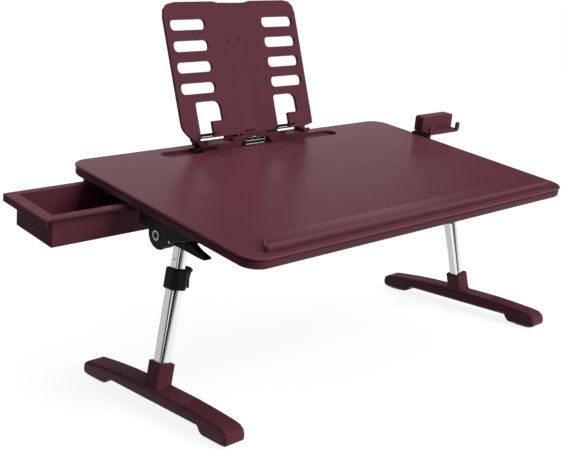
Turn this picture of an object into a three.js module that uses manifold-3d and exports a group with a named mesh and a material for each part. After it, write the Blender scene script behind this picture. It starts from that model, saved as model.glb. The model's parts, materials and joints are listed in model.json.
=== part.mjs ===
// Folding lap desk: a tilting top with a book stand, a drawer, a phone rest and two telescoping legs.
// Millimetres, +Z up, +X to the user's right, +Y away from the user.
import * as THREE from 'three';
import { mergeVertices } from 'three/addons/utils/BufferGeometryUtils.js';
import Module from 'manifold-3d';

const wasm = await Module();
wasm.setup();

// Fits and cuts shared by all pieces
const seat = 0.3;
const overrun = 5;
const arcSteps = 3;
const topCornerSteps = 6;
const roundSides = 16;
const smallSides = 10;
const edgeShare = 0.497;
const toothShare = 0.65;

// Desk top. Its own frame has u across, v towards the rear and n up from the top surface
const topWidth = 600;
const topDepth = 380;
const topCorner = 26;
const skinThickness = 3.5;
const skinRound = 1.3;
const boardThickness = 10.8;
const boardSetback = 1.2;
const boardRound = 2.4;
const tilt = THREE.MathUtils.degToRad(9);

// Groove that the book stand plugs into
const grooveLength = 336;
const grooveWidth = 24;
const grooveInset = 29;
const grooveDepth = 5.4;
const pocketLength = 34;
const pocketWidth = 11;
const pocketDepth = 3.6;
const pocketU = 92;
const pocketForward = 4;

// Wrist ridge along the front edge
const ridgeFrontLength = 550;
const ridgeRearLength = 500;
const ridgeWidth = 28;
const ridgeHeight = 8.5;
const ridgeInset = 26;
const ridgeCorner = 11;
const ridgeEnd = 3;
const ridgeSink = 1;

// Drawer and its runners
const drawerOut = 112;
const drawerLength = 178;
const drawerWidth = 86;
const drawerBehind = 60;
const drawerDrop = 1.8;
const drawerDepth = 41;
const drawerWall = 2.4;
const drawerCorner = 2.6;
const rimSide = 9;
const rimFront = 14;
const rimBack = 3;
const rimThickness = 3.4;
const rimCorner = 3;
const lipHeight = 10;
const lipThickness = 3.4;
const railWeb = 3.4;
const railFloor = 2.6;
const railGrip = 6.2;
const railSetback = 4;
const stopThickness = 3.4;
const stopHeight = 16;
const stopGap = 2;

// Book stand
const standLean = THREE.MathUtils.degToRad(23.2);
const standSetback = 1;
const panelWidth = 250;
const panelHeight = 212;
const panelThickness = 5;
const panelCorner = 22;
const panelFootLow = 15.5;
const panelBendLeft = 31;
const panelBendRight = 18.5;
const panelBendCorner = 22;
const panelFootIn = 15;
const panelFootCorner = 3;
const dipOuter = 35;
const dipInner = 25;
const dipDepth = 2.2;
const spineU = 12.5;
const spineWidth = 57;
const spineDepth = 2.2;
const ventLength = 62;
const ventHeight = 15.7;
const ventCorner = 6.5;
const ventInset = 40;
const ventTop = 179.3;
const ventPitch = 30.5;
const ventCount = 4;
const screwHole = 1.7;
const screwHoleMid = -6;
const screwHoleU = 11;
const screwHoleHeight = 154;
const keySlotU = -4.6;
const keySlotLength = 19.4;
const keySlotHeight = 2.8;
const keySlotRise = 18.2;
const keySlotDepth = 1.6;

// Page clips, one in each L-shaped hole of the panel
const clipHeadLength = 45;
const clipHeadWidth = 29;
const clipStemLength = 19;
const clipStemWidth = 24.5;
const clipCorner = 5;
const clipFarCorner = 12;
const clipLeftInset = 29.5;
const clipRightInset = 72.5;
const clipThickness = 2;
const clipOffset = 0.2;
const clipFingerGap = 5;
const clipPinRadius = 1.9;
const clipPinEnd = 1.2;
const clipLugRadius = 2.3;
const clipLugWidth = 3;
const clipPinSink = 1.3;
const clipAxisHeight = 20;
const clipGap = 0.5;
const clipOpen = THREE.MathUtils.degToRad(93.5);

// Stand hinge and base
const hingeHeight = 14;
const hingeSetback = 3.5;
const knuckleRadius = 3.6;
const hingePinRadius = 1.6;
const outerKnuckleInset = 28;
const outerKnuckleLength = 6;
const outerCheekLength = 4.6;
const barrelLength = 44;
const barrelRadius = 6.4;
const barrelTeeth = 16;
const barrelToothDepth = 1.1;
const baseForward = 4;
const baseBack = 18;
const baseTopIn = 17;
const baseFootIn = 9;
const baseFrontHeight = 13.4;
const baseEndHeight = 10.2;
const baseRearHeight = 12.2;
const baseLedge = 3.4;
const baseCornerRound = 3;
const slitHeight = 7.2;
const slitLeftInner = 46;
const slitLeftEnd = 7;
const slitRightInner = 57;
const slitRightEnd = 4;
const troughClear = 1;
const wellLength = 56;
const wellWall = 3;
const notchWidth = 62.6;
const notchHeight = 13.6;
const pawlLength = 54;
const pawlGridLength = 36;
const pawlThickness = 2;
const pawlHeight = 11;
const pawlWindowGap = 2.2;
const pawlWindowDepth = 0.9;
const pawlColumns = 3;
const pawlRows = 2;

// Phone rest at the right edge
const phoneInset = 99.5;
const phoneWidth = 75;
const phoneJaw = 34;
const phoneStart = 0.8;
const restThickness = 17;
const restHeight = 25.5;
const restLean = THREE.MathUtils.degToRad(2);
const restCorner = 4;
const restShell = 3;
const ledgeThickness = 3.5;
const ledgeRise = 3.4;
const prongWidth = 7;
const prongHeight = 14;
const prongInset = 0;
const prongThickness = 4;
const jawThickness = 3;
const jawReach = 4;
const lowerJawReach = 34;
const clampWeb = 4;
const screwRadius = 3;
const screwInset = 20;
const knobRadius = 9;
const knobHeight = 8;
const knobLobes = 8;
const knobLobeRadius = 2.2;

// Legs. The tilt axis runs across at pivotHeight, over the middle of the foot
const pivotV = -7.5;
const pivotN = -36;
const pivotHeight = 218.6;
const legY = -2;
const legLean = Math.atan(0.237);
const bracketX = 293;
const legFootOut = 11;
const plateThickness = 6.6;
const lobeRadius = 18.5;
const lobeStart = THREE.MathUtils.degToRad(216);
const lobeEnd = THREE.MathUtils.degToRad(365);
const plateClear = 1.2;
const plateFront = -84;
const plateFrontLow = -72;
const plateFrontDrop = 9;
const plateLowN = -31;
const plateLowV = -47;
const foldInset = 39;
const foldN = -31.1;
const foldPinRadius = 2.6;
const foldBarrelRadius = 6;
const foldBaseFront = -66;
const foldBaseRear = 40;
const foldBaseThickness = 2.7;
const foldBaseOut = 20;
const foldBaseIn = 28;
const lugThickness = 8;
const lugRadius = 7;
const lugFlare = 13;
const armFrontLength = 27;
const armRearLength = 17;
const armBottom = -33;
const boltRadius = 4;
const boltHead = 2;
const boltLength = 30;
const socketAcross = 2.4;
const socketDepth = 1.5;
const ringOuter = 6.6;
const ringThickness = 1.4;

// Leg head with its toothed wheel
const wheelRadius = 18;
const wheelThickness = 11;
const wheelTeeth = 30;
const wheelToothDepth = 1.5;
const neckHalfDepth = 11;
const neckTop = 9;
const neckBottom = -13;
const neckReach = 34.1;
const neckRound = 3;

// Release lever
const leverV = -34.1;
const leverN = -35.4;
const leverPinRadius = 2;
const leverPinHead = 1.1;
const leverHub = 5.6;
const leverWidth = 9;
const leverNoseV = 8.2;
const leverNoseN = -8.2;
const leverTailDrop = 3.6;
const leverTailV = -59;
const leverTailN = 4.5;
const leverTailRadius = 4.2;
const leverNeckV = -36;
const leverNeckTop = 9;

// Telescoping tubes
const outerTubeSize = 17;
const outerTubeWall = 1;
const outerTubeRound = 3.4;
const tubeSlide = 0.25;
const innerTubeWall = 1.2;
const innerTubeRound = 2.4;
const outerTubeBottom = 36;
const outerTubeTop = 166;
const innerTubeBottom = 72;
const innerTubeTop = 226;
const dimpleRadius = 1.3;
const dimpleHeight = 187.3;

// Clamp collar and cam lever
const collarBottom = 150;
const collarTop = 176.6;
const collarSize = 23;
const collarRound = 5;
const collarEdge = 1.5;
const earThickness = 3;
const earHeight = 10;
const camGap = 9.6;
const camPinRadius = 1.3;
const camRadius = 3.6;
const camPivotDrop = 0.5;
const camPivotOut = 4;
const camArm = 22;
const camArmThickness = 3;
const camTip = 2.2;

// Feet
const footLength = 305;
const footY = -2.5;
const footWidth = 31;
const footIn = 20.4;
const footMidHeight = 28.5;
const footFrontHeight = 24;
const footRearHeight = 22.5;
const footEndRound = 10;
const footEdge = 3;
const footFlat = 36;
const footPlanCorner = 5;
const archHeight = 11;
const archFront = -105;
const archRear = 97;
const archRamp = 10;
const footClear = 1.5;
const postWidth = 24.4;
const postTop = 58;
const postFlare = 6;
const padLength = 30;
const padWidth = 22;
const padThickness = 3;
const padCorner = 6;
const padInset = 9;

// Worked out from the sizes above
const topHalf = topWidth / 2;
const underside = -(skinThickness + seat + boardThickness);
const grooveFloor = -grooveDepth;
const grooveV = topDepth / 2 - grooveInset;
const pocketV = grooveV - pocketForward;
const ridgeV = ridgeInset - topDepth / 2;
const drawerV = foldBaseRear + drawerBehind;
const standV = grooveV + standSetback;
const baseFrontV = grooveV - baseForward;
const baseRearV = grooveV + baseBack;
const phoneV = topDepth / 2 - phoneInset;
const rimTop = underside - drawerDrop;
const legFootX = bracketX + legFootOut;
const footInner = legFootX - footIn;
const hingeV = standV + hingeHeight * Math.sin(standLean) + hingeSetback * Math.cos(standLean);
const hingeN = hingeHeight * Math.cos(standLean) - hingeSetback * Math.sin(standLean);
const innerTubeSize = outerTubeSize - 2 * outerTubeWall - 2 * tubeSlide;

// Materials
const finish = (color, roughness, metalness) => {
  return new THREE.MeshStandardMaterial({ color, roughness, metalness });
};
const burgundySkin = finish('#6b3a46', 0.55, 0);
const burgundyPlastic = finish('#66323f', 0.45, 0);
const blackPlastic = finish('#1c1a1a', 0.5, 0);
const polishedTube = finish('#d9dadc', 0.16, 1);
const brightSteel = finish('#c3c5c8', 0.25, 1);
const darkSteel = finish('#4a4b4e', 0.35, 1);
const blackRubber = finish('#141414', 0.85, 0);

// Solids

function solid(geometry) {
  const bare = geometry.clone();
  bare.deleteAttribute('normal');
  bare.deleteAttribute('uv');
  const merged = mergeVertices(bare);
  const vertProperties = Float32Array.from(merged.attributes.position.array);
  const triVerts = Uint32Array.from(merged.index.array);
  return new wasm.Manifold(new wasm.Mesh({ numProp: 3, vertProperties, triVerts }));
}

// hand is 1 for a piece used as drawn and -1 for its mirror image across the desk
function piece(name, body, material, hand = 1) {
  const { vertProperties, triVerts } = body.getMesh();
  const points = Float32Array.from(vertProperties);
  const corners = Uint32Array.from(triVerts);
  if (hand < 0) {
    for (let i = 0; i < points.length; i += 3) points[i] = -points[i];
    corners.reverse();
  }
  const geometry = new THREE.BufferGeometry();
  geometry.setAttribute('position', new THREE.BufferAttribute(points, 3));
  geometry.setIndex(new THREE.BufferAttribute(corners, 1));
  geometry.computeVertexNormals();
  const mesh = new THREE.Mesh(geometry, material);
  mesh.name = name;
  return mesh;
}

function joined(first, ...rest) {
  return rest.reduce((body, other) => body.add(other), first);
}

function cut(first, ...rest) {
  return rest.reduce((body, other) => body.subtract(other), first);
}

// An outline extruded along +Z between two heights, with its edges rounded by round
function slab(shape, low, high, round = 0, steps = arcSteps) {
  const geometry = new THREE.ExtrudeGeometry(shape, {
    depth: high - low - 2 * round,
    curveSegments: steps,
    bevelEnabled: round > 0,
    bevelThickness: round,
    bevelSize: round,
    bevelOffset: -round,
    bevelSegments: 1,
  });
  return geometry.translate(0, 0, low + round);
}

// An outline drawn in (y, z) and extruded along X
function across(shape, fromX, toX, round = 0) {
  const turn = new THREE.Matrix4().makeBasis(
    new THREE.Vector3(0, 1, 0),
    new THREE.Vector3(0, 0, 1),
    new THREE.Vector3(1, 0, 0),
  );
  return slab(shape, fromX, toX, round).applyMatrix4(turn);
}

// An outline drawn in (x, z) and extruded along Y
function along(shape, fromY, toY, round = 0) {
  const turn = new THREE.Matrix4().makeBasis(
    new THREE.Vector3(1, 0, 0),
    new THREE.Vector3(0, 0, 1),
    new THREE.Vector3(0, -1, 0),
  );
  return slab(shape, -toY, -fromY, round).applyMatrix4(turn);
}

function box(fromX, toX, fromY, toY, fromZ, toZ) {
  const geometry = new THREE.BoxGeometry(toX - fromX, toY - fromY, toZ - fromZ);
  return geometry.translate((fromX + toX) / 2, (fromY + toY) / 2, (fromZ + toZ) / 2);
}

function rodX(radius, fromX, toX, y, z, sides = roundSides) {
  const geometry = new THREE.CylinderGeometry(radius, radius, toX - fromX, sides).rotateZ(Math.PI / 2);
  return geometry.translate((fromX + toX) / 2, y, z);
}

function rodY(radius, fromY, toY, x, z, sides = roundSides) {
  const geometry = new THREE.CylinderGeometry(radius, radius, toY - fromY, sides);
  return geometry.translate(x, (fromY + toY) / 2, z);
}

function rodZ(radius, fromZ, toZ, x, y, sides = roundSides) {
  const geometry = new THREE.CylinderGeometry(radius, radius, toZ - fromZ, sides).rotateX(Math.PI / 2);
  return geometry.translate(x, y, (fromZ + toZ) / 2);
}

// Outlines

function roundedPolygon(points, radii) {
  const shape = new THREE.Shape();
  points.forEach((here, i) => {
    const radius = Array.isArray(radii) ? radii[i] : radii;
    const before = points[(i + points.length - 1) % points.length];
    const after = points[(i + 1) % points.length];
    const corner = new THREE.Vector2(...here);
    const back = new THREE.Vector2(...before).sub(corner);
    const ahead = new THREE.Vector2(...after).sub(corner);
    const half = back.angleTo(ahead) / 2;
    const room = edgeShare * Math.min(back.length(), ahead.length());
    const reach = Math.min(radius / Math.tan(half), room);
    const start = corner.clone().addScaledVector(back.normalize(), reach);
    const end = corner.clone().addScaledVector(ahead.normalize(), reach);
    if (i === 0) shape.moveTo(start.x, start.y);
    else shape.lineTo(start.x, start.y);
    if (reach > 0) shape.quadraticCurveTo(corner.x, corner.y, end.x, end.y);
  });
  shape.closePath();
  return shape;
}

function roundedRect(x, y, width, depth, radius) {
  const left = x - width / 2;
  const right = x + width / 2;
  const low = y - depth / 2;
  const high = y + depth / 2;
  const shape = new THREE.Shape();
  shape.moveTo(left + radius, low);
  shape.lineTo(right - radius, low);
  shape.absarc(right - radius, low + radius, radius, -Math.PI / 2, 0, false);
  shape.lineTo(right, high - radius);
  shape.absarc(right - radius, high - radius, radius, 0, Math.PI / 2, false);
  shape.lineTo(left + radius, high);
  shape.absarc(left + radius, high - radius, radius, Math.PI / 2, Math.PI, false);
  shape.lineTo(left, low + radius);
  shape.absarc(left + radius, low + radius, radius, Math.PI, 1.5 * Math.PI, false);
  return shape;
}

function toothedOutline(x, y, radius, depth, teeth) {
  const shape = new THREE.Shape();
  for (let i = 0; i < teeth; i += 1) {
    const step = (2 * Math.PI) / teeth;
    const tip = i * step;
    const root = tip + step * toothShare;
    const tipX = x + radius * Math.cos(tip);
    const tipY = y + radius * Math.sin(tip);
    if (i === 0) shape.moveTo(tipX, tipY);
    else shape.lineTo(tipX, tipY);
    shape.lineTo(x + (radius - depth) * Math.cos(root), y + (radius - depth) * Math.sin(root));
  }
  shape.closePath();
  return shape;
}

// Desk top

function grooveCut(low) {
  const outline = roundedRect(0, grooveV, grooveLength, grooveWidth, grooveWidth / 2 - seat);
  return solid(slab(outline, low, overrun));
}

function topSkin() {
  const outline = roundedRect(0, 0, topWidth, topDepth, topCorner);
  const sheet = solid(slab(outline, -skinThickness, 0, skinRound, topCornerSteps));
  const ridgeSeat = solid(slab(ridgePlan(seat), -ridgeSink, overrun));
  return piece('top_skin', cut(sheet, grooveCut(-skinThickness - overrun), ridgeSeat), burgundySkin);
}

function topBoard() {
  const width = topWidth - 2 * boardSetback;
  const depth = topDepth - 2 * boardSetback;
  const outline = roundedRect(0, 0, width, depth, topCorner - boardSetback);
  const body = solid(slab(outline, underside, underside + boardThickness, boardRound, topCornerSteps));
  const pockets = [-pocketU, pocketU].map((u) => {
    const pocket = roundedRect(u, pocketV, pocketLength, pocketWidth, boardRound);
    return solid(slab(pocket, grooveFloor - pocketDepth, 0));
  });
  return piece('top_board', cut(body, grooveCut(grooveFloor), ...pockets), burgundyPlastic);
}

function ridgePlan(grow) {
  const front = ridgeV - ridgeWidth / 2 - grow;
  const rear = ridgeV + ridgeWidth / 2 + grow;
  const halfFront = ridgeFrontLength / 2 + grow;
  const halfRear = ridgeRearLength / 2 + grow;
  const points = [
    [-halfFront, front],
    [halfFront, front],
    [halfRear, rear],
    [-halfRear, rear],
  ];
  return roundedPolygon(points, ridgeCorner);
}

function wristRidge() {
  const low = seat - ridgeSink;
  const hump = new THREE.Shape();
  hump.moveTo(ridgeV + ridgeWidth / 2, low);
  hump.lineTo(ridgeV + ridgeWidth / 2, 0);
  hump.absellipse(ridgeV, 0, ridgeWidth / 2, ridgeHeight, 0, Math.PI, false);
  hump.lineTo(ridgeV - ridgeWidth / 2, low);
  hump.closePath();
  const bar = solid(across(hump, -ridgeFrontLength / 2, ridgeFrontLength / 2));
  const ends = solid(slab(ridgePlan(0), low - ridgeEnd, ridgeHeight, ridgeEnd));
  return piece('wrist_ridge', bar.intersect(ends), burgundySkin);
}

// Drawer

function drawerTray() {
  const front = -topHalf;
  const back = front + drawerLength;
  const boxLength = drawerLength - rimFront - rimBack;
  const boxMid = front + rimFront + boxLength / 2;
  const floor = rimTop - drawerDepth;
  const rimWidth = drawerWidth + 2 * rimSide;
  const rimOutline = roundedRect((front + back) / 2, drawerV, drawerLength, rimWidth, rimCorner);
  const boxOutline = roundedRect(boxMid, drawerV, boxLength, drawerWidth, drawerCorner);
  const insideOutline = roundedRect(
    boxMid,
    drawerV,
    boxLength - 2 * drawerWall,
    drawerWidth - 2 * drawerWall,
    drawerCorner - drawerWall,
  );
  const rim = solid(slab(rimOutline, rimTop - rimThickness, rimTop, rimThickness / 4));
  const bin = solid(slab(boxOutline, floor, rimTop - rimThickness / 2, drawerWall / 2));
  const lipBlock = solid(slab(rimOutline, rimTop - lipHeight, rimTop, rimThickness / 4));
  const lipReach = box(
    front - overrun,
    front + lipThickness,
    drawerV - drawerWidth,
    drawerV + drawerWidth,
    floor,
    rimTop + overrun,
  );
  const inside = solid(slab(insideOutline, floor + drawerWall, rimTop + overrun));
  const body = cut(joined(rim, bin, lipBlock.intersect(solid(lipReach))), inside);
  const tray = piece('drawer_tray', body, burgundyPlastic);
  tray.position.x = -drawerOut;
  return tray;
}

function drawerRail(name, side) {
  const web = drawerV + side * (drawerWidth / 2 + rimSide + seat);
  const outer = web + side * railWeb;
  const grip = web - side * railGrip;
  const top = underside - seat;
  const under = rimTop - rimThickness - seat;
  const shape = new THREE.Shape();
  shape.moveTo(outer, top);
  shape.lineTo(grip, top);
  shape.lineTo(grip, rimTop + seat);
  shape.lineTo(web, rimTop + seat);
  shape.lineTo(web, under);
  shape.lineTo(grip, under);
  shape.lineTo(grip, under - railFloor);
  shape.lineTo(outer, under - railFloor);
  shape.closePath();
  const front = -topHalf + railSetback;
  const back = -topHalf + drawerLength;
  return piece(name, solid(across(shape, front, back)), blackPlastic);
}

function drawerStop() {
  const half = drawerWidth / 2 + rimSide + seat + railWeb;
  const front = -topHalf + drawerLength + stopGap;
  const outline = roundedRect(drawerV, underside - seat - stopHeight / 2, 2 * half, stopHeight, drawerWall);
  return piece('drawer_stop', solid(across(outline, front, front + stopThickness)), blackPlastic);
}

// Book stand. The panel group stands on the hinge axis: x across, z up the panel, y through its thickness

const panelFront = -hingeSetback;
const outerKnuckleU = panelWidth / 2 - outerKnuckleInset;
const cheekFrom = outerKnuckleU + outerKnuckleLength + seat;
const cheekTo = cheekFrom + outerCheekLength;
const cheekSpans = [-1, 1].flatMap((side) =>
  [
    [barrelLength / 2 + seat, wellLength / 2 + seat],
    [cheekFrom, cheekTo],
  ].map(([near, far]) => (side < 0 ? [-far, -near] : [near, far])),
);

function panelSection() {
  const spineLeft = spineU - spineWidth / 2;
  const spineRight = spineU + spineWidth / 2;
  const shape = new THREE.Shape();
  shape.moveTo(-panelWidth / 2, panelFront);
  shape.lineTo(spineLeft, panelFront);
  shape.lineTo(spineU, panelFront + spineDepth);
  shape.lineTo(spineRight, panelFront);
  shape.lineTo(panelWidth / 2, panelFront);
  shape.lineTo(panelWidth / 2, panelFront + panelThickness);
  shape.lineTo(spineRight, panelFront + panelThickness);
  shape.lineTo(spineU, panelFront + panelThickness + spineDepth);
  shape.lineTo(spineLeft, panelFront + panelThickness);
  shape.lineTo(-panelWidth / 2, panelFront + panelThickness);
  shape.closePath();
  return shape;
}

function panelOutline() {
  const half = panelWidth / 2;
  const top = panelHeight - hingeHeight;
  const low = panelFootLow - hingeHeight;
  const corners = [
    [panelFootIn - half, low, panelFootCorner],
    [half - panelFootIn, low, panelFootCorner],
    [half, panelBendRight - hingeHeight, panelFootCorner],
    [half, top, panelCorner],
    [dipOuter, top, dipDepth],
    [dipInner, top - dipDepth, dipDepth],
    [-dipInner, top - dipDepth, dipDepth],
    [-dipOuter, top, dipDepth],
    [-half, top, panelCorner],
    [-half, panelBendLeft - hingeHeight, panelBendCorner],
  ];
  const points = corners.map(([x, z]) => [x, z]);
  return roundedPolygon(points, corners.map(([, , radius]) => radius));
}

// The L-shaped outline of a page clip, grown by grow and cut back by short at its free end, hinged at z = 0
function clipOutline(u, foot, grow, short) {
  const left = u - grow;
  const right = u + clipHeadLength + grow - short;
  const stem = u + clipStemWidth + grow;
  const headLow = clipStemLength - grow;
  const top = clipStemLength + clipHeadWidth + grow - short;
  const points = [
    [left, foot],
    [stem, foot],
    [stem, headLow],
    [right, headLow],
    [right, top],
    [left, top],
  ];
  return roundedPolygon(points, [0, 0, clipCorner / 3, clipCorner / 3, clipFarCorner + short, clipCorner]);
}

const clipLeftU = clipLeftInset - panelWidth / 2;
const clipRightU = panelWidth / 2 - clipRightInset;
const clipRise = clipAxisHeight - hingeHeight;
const clipDepth = panelFront + panelThickness / 2;

function clipHole(u) {
  const front = panelFront - overrun;
  const back = panelFront + panelThickness + overrun;
  const outline = clipOutline(u, -clipLugRadius - seat, 0, 0);
  const window = along(outline, front, back).translate(0, 0, clipRise);
  const pinFrom = u - clipPinSink;
  const pinTo = u + clipStemWidth + clipPinSink;
  const pinHole = rodX(clipPinEnd + seat, pinFrom, pinTo, clipDepth, clipRise, smallSides);
  return joined(solid(window), solid(pinHole));
}

function standPanel() {
  const front = panelFront - overrun;
  const back = panelFront + panelThickness + spineDepth + overrun;
  const low = panelFootLow - hingeHeight;
  const sheet = solid(slab(panelSection(), low - overrun, panelHeight));
  const plate = sheet.intersect(solid(along(panelOutline(), front, back)));
  const cuts = [];
  for (let row = 0; row < ventCount; row += 1) {
    const height = ventTop - row * ventPitch - hingeHeight;
    for (const u of [ventInset - panelWidth / 2, panelWidth / 2 - ventInset]) {
      cuts.push(solid(along(roundedRect(u, height, ventLength, ventHeight, ventCorner), front, back)));
    }
  }
  for (const u of [screwHoleMid - screwHoleU, screwHoleMid + screwHoleU]) {
    cuts.push(solid(rodY(screwHole, front, back, u, screwHoleHeight - hingeHeight, smallSides)));
  }
  cuts.push(clipHole(clipLeftU), clipHole(clipRightU));
  const slotRound = edgeShare * keySlotHeight;
  const keySlot = roundedRect(keySlotU, keySlotRise - hingeHeight, keySlotLength, keySlotHeight, slotRound);
  cuts.push(solid(along(keySlot, front, panelFront + spineDepth + keySlotDepth)));
  for (const [from, to] of cheekSpans) {
    cuts.push(solid(rodX(knuckleRadius + seat, from - seat, to + seat, 0, 0, smallSides)));
  }
  const body = cut(plate, ...cuts);

  // Hinge barrel with ratchet teeth in the middle, and a knuckle at each end
  const barrelHalf = barrelLength / 2;
  const barrelOutline = toothedOutline(0, 0, barrelRadius, barrelToothDepth, barrelTeeth);
  const barrel = solid(across(barrelOutline, -barrelHalf, barrelHalf));
  const neckFront = panelFront + spineDepth;
  const neckRear = panelFront + panelThickness;
  const barrelNeck = solid(box(-barrelHalf, barrelHalf, neckFront, neckRear, 0, low + panelThickness));
  const parts = [barrel, barrelNeck];
  for (const side of [-1, 1]) {
    const inner = side * outerKnuckleU;
    const outer = side * (outerKnuckleU + outerKnuckleLength);
    const from = Math.min(inner, outer);
    const to = Math.max(inner, outer);
    parts.push(solid(rodX(knuckleRadius - seat, from, to, 0, 0, smallSides)));
    const knuckleRear = panelFront + panelThickness - seat;
    parts.push(solid(box(from, to, panelFront + seat, knuckleRear, 0, low + panelThickness)));
  }
  const bore = solid(rodX(hingePinRadius + seat, -panelWidth, panelWidth, 0, 0, smallSides));
  return piece('stand_panel', joined(body, ...parts).subtract(bore), burgundyPlastic);
}

function pageClip(name, u) {
  const gap = clipGap;
  const back = clipOffset + clipThickness;
  const outline = clipOutline(u, clipPinRadius + seat, -gap, clipFingerGap);
  const plate = solid(along(outline, clipOffset, back));
  const lugs = [u + gap, u + clipStemWidth - gap - clipLugWidth].flatMap((from) => [
    solid(rodX(clipLugRadius, from, from + clipLugWidth, 0, 0, smallSides)),
    solid(box(from, from + clipLugWidth, 0, back, 0, clipPinRadius + clipThickness)),
  ]);
  const stemEnd = u + clipStemWidth;
  const bore = solid(rodX(clipPinEnd + seat, u - overrun, stemEnd + overrun, 0, 0, smallSides));
  return piece(name, joined(plate, ...lugs).subtract(bore), burgundyPlastic);
}

function clipPin(name, u) {
  const endFrom = u - clipPinSink + seat;
  const endTo = u + clipStemWidth + clipPinSink - seat;
  const midFrom = u + clipGap + clipLugWidth + seat;
  const midTo = u + clipStemWidth - clipGap - clipLugWidth - seat;
  const ends = solid(rodX(clipPinEnd, endFrom, endTo, 0, 0, smallSides));
  const middle = solid(rodX(clipPinRadius, midFrom, midTo, 0, 0, smallSides));
  return piece(name, joined(ends, middle), blackPlastic);
}

function hingePin(name, from, to) {
  return piece(name, solid(rodX(hingePinRadius, from, to, 0, 0, smallSides)), darkSteel);
}

function standBase() {
  const halfTop = panelWidth / 2 - baseTopIn;
  const halfFoot = halfTop - baseFootIn;
  const foot = grooveFloor + seat;
  const plugRear = grooveV + grooveWidth / 2 - seat;
  const section = new THREE.Shape();
  section.moveTo(baseFrontV, foot);
  section.lineTo(plugRear - seat, foot);
  section.lineTo(plugRear - seat, seat);
  section.lineTo(baseRearV, seat);
  section.lineTo(baseRearV, baseRearHeight);
  section.lineTo(hingeV + knuckleRadius, baseRearHeight);
  section.lineTo(hingeV - knuckleRadius, baseEndHeight);
  section.lineTo(baseFrontV + baseLedge, baseFrontHeight);
  section.lineTo(baseFrontV, baseFrontHeight);
  section.closePath();
  const bar = solid(across(section, -halfTop, halfTop));
  const above = baseFrontHeight + overrun;
  const face = roundedPolygon(
    [
      [-halfFoot, foot],
      [halfFoot, foot],
      [halfFoot, 0],
      [halfTop, baseEndHeight],
      [halfTop, above],
      [-halfTop, above],
      [-halfTop, baseEndHeight],
      [-halfFoot, 0],
    ],
    [0, 0, 0, baseCornerRound, 0, 0, baseCornerRound, 0],
  );
  const ends = solid(along(face, baseFrontV - overrun, baseRearV + overrun));

  const cutTo = halfTop + overrun;
  const trough = solid(rodX(knuckleRadius + troughClear, -cutTo, cutTo, hingeV, hingeN));
  const slits = [
    [slitLeftEnd - halfFoot, -slitLeftInner],
    [slitRightInner, halfFoot - slitRightEnd],
  ].map(([from, to]) => solid(box(from, to, baseFrontV - overrun, baseRearV + overrun, slitHeight, above)));
  const half = wellLength / 2;
  const pawlRear = baseFrontV + 2 * wellWall + pawlThickness;
  const wellRear = hingeV + barrelRadius + seat;
  const wellFloor = hingeN - barrelRadius - 2 * seat;
  const well = solid(box(-half, half, baseFrontV + wellWall, wellRear, wellFloor, above));
  const pawlWell = solid(box(-half, half, baseFrontV + wellWall, pawlRear, foot + wellWall, above));
  const arch = new THREE.Shape();
  arch.absellipse(0, foot + wellWall, notchWidth / 2, notchHeight - foot - wellWall, 0, Math.PI, false);
  arch.closePath();
  const notch = solid(along(arch, baseFrontV - overrun, baseFrontV + wellWall + seat));
  const body = cut(bar.intersect(ends), trough, ...slits, well, pawlWell, notch);

  // Cheeks that hold the hinge pins
  const cheekRadius = knuckleRadius - seat;
  const cheeks = cheekSpans.flatMap(([from, to]) => [
    solid(rodX(cheekRadius, from, to, hingeV, hingeN)),
    solid(box(from, to, hingeV - cheekRadius, hingeV + cheekRadius, slitHeight / 2, hingeN)),
  ]);
  const bore = solid(rodX(hingePinRadius + seat, -cutTo, cutTo, hingeV, hingeN, smallSides));
  return piece('stand_base', joined(body, ...cheeks).subtract(bore), burgundyPlastic);
}

function standPawl() {
  const half = pawlLength / 2;
  const front = baseFrontV + wellWall + seat;
  const low = grooveFloor + 2 * seat + wellWall;
  const plate = solid(box(-half, half, front, front + pawlThickness, low, pawlHeight));
  const cell = pawlGridLength / pawlColumns;
  const rise = (pawlHeight - low) / pawlRows;
  const windows = [];
  for (let column = 0; column < pawlColumns; column += 1) {
    for (let row = 0; row < pawlRows; row += 1) {
      const u = -pawlGridLength / 2 + cell * column + pawlWindowGap / 2;
      const n = low + rise * row + pawlWindowGap / 2;
      const toU = u + cell - pawlWindowGap;
      const toN = n + rise - pawlWindowGap;
      windows.push(solid(box(u, toU, front - overrun, front + pawlWindowDepth, n, toN)));
    }
  }
  return piece('stand_pawl', cut(plate, ...windows), blackPlastic);
}

function bookStand() {
  const panel = new THREE.Group();
  panel.position.set(0, hingeV, hingeN);
  panel.rotation.x = -standLean;
  panel.add(standPanel());
  const pinHalf = wellLength / 2 + seat;
  panel.add(hingePin('stand_pin_mid', -pinHalf, pinHalf));
  panel.add(hingePin('stand_pin_left', -cheekTo, -outerKnuckleU));
  panel.add(hingePin('stand_pin_right', outerKnuckleU, cheekTo));
  for (const [side, u] of [['left', clipLeftU], ['right', clipRightU]]) {
    const clip = new THREE.Group();
    clip.position.set(0, clipDepth, clipRise);
    clip.rotation.x = clipOpen;
    clip.add(pageClip(`page_clip_${side}`, u), clipPin(`clip_pin_${side}`, u));
    panel.add(clip);
  }
  const stand = new THREE.Group();
  stand.add(standBase(), standPawl(), panel);
  return stand;
}

// Phone rest

const phoneX = topHalf + phoneStart;
const phoneFront = phoneV - phoneJaw / 2;
const phoneRear = phoneV + phoneJaw / 2;
const ledgeTop = ledgeRise + ledgeThickness;

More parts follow.
